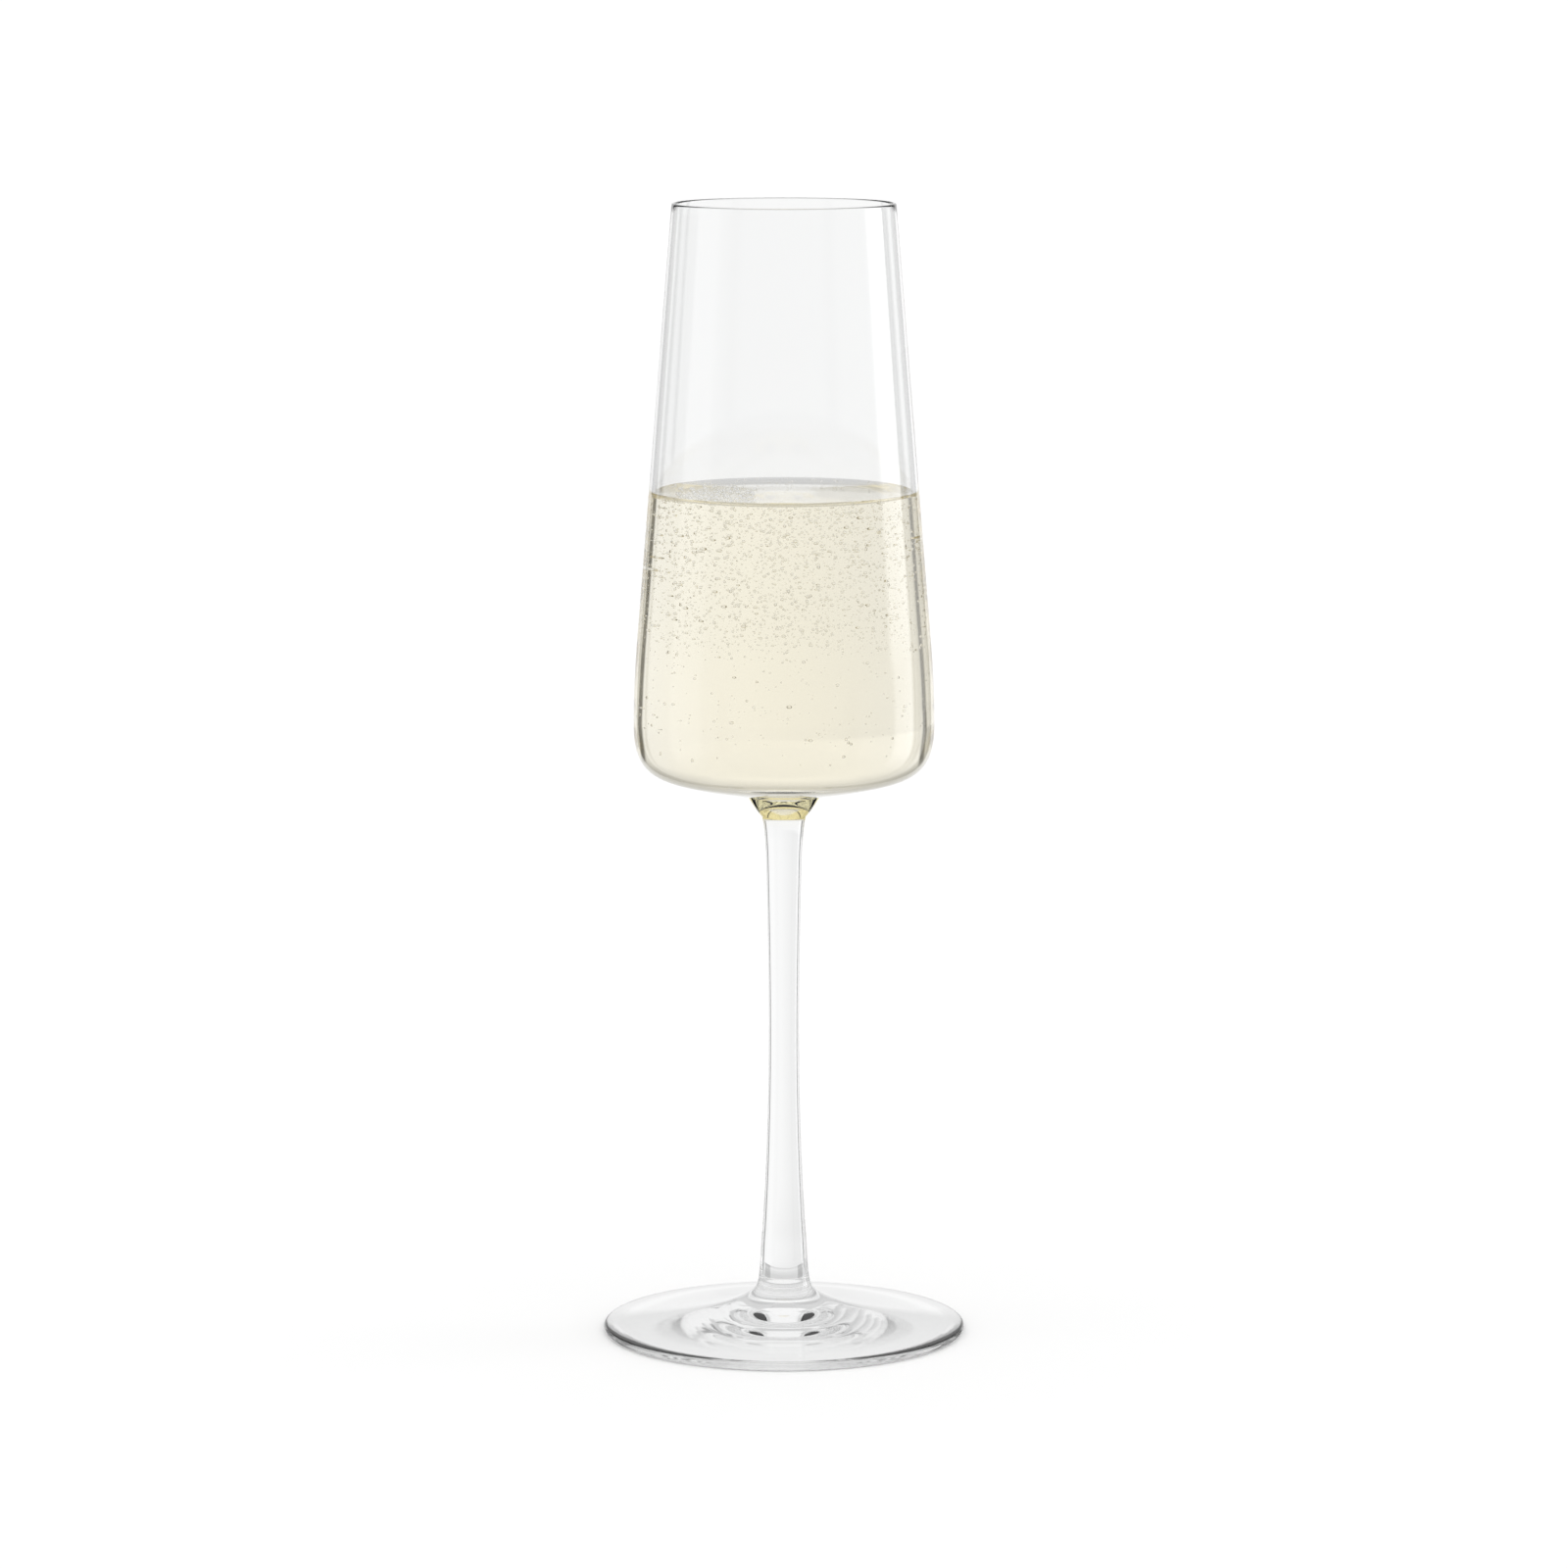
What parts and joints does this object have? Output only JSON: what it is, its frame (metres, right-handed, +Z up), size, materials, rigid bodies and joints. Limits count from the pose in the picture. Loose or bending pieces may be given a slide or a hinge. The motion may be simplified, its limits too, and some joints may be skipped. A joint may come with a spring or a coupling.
{
  "type": "champagne flute",
  "caption": "Tall stemmed flute of clear glass with a tapered bowl, a tight rounded shoulder and a disc foot, part filled with sparkling wine.",
  "frame": {"origin": "centre of the circle that the foot rests on, at the bottom of the object", "axes": "+Z up along the glass's axis of turning, from the foot to the rim; the object is the same all round, so +X and +Y are arbitrary"},
  "size_m": [0.0744, 0.0744, 0.2318],
  "materials": {
    "bowl_glass": "polished",
    "stem_glass": "polished",
    "foot_glass": "polished",
    "sparkling_wine": "polished"
  },
  "bodies": {
    "root": {"bowl": "bowl_glass", "stem": "stem_glass", "foot": "foot_glass", "champagne": "sparkling_wine"}
  },
  "joints": []
}
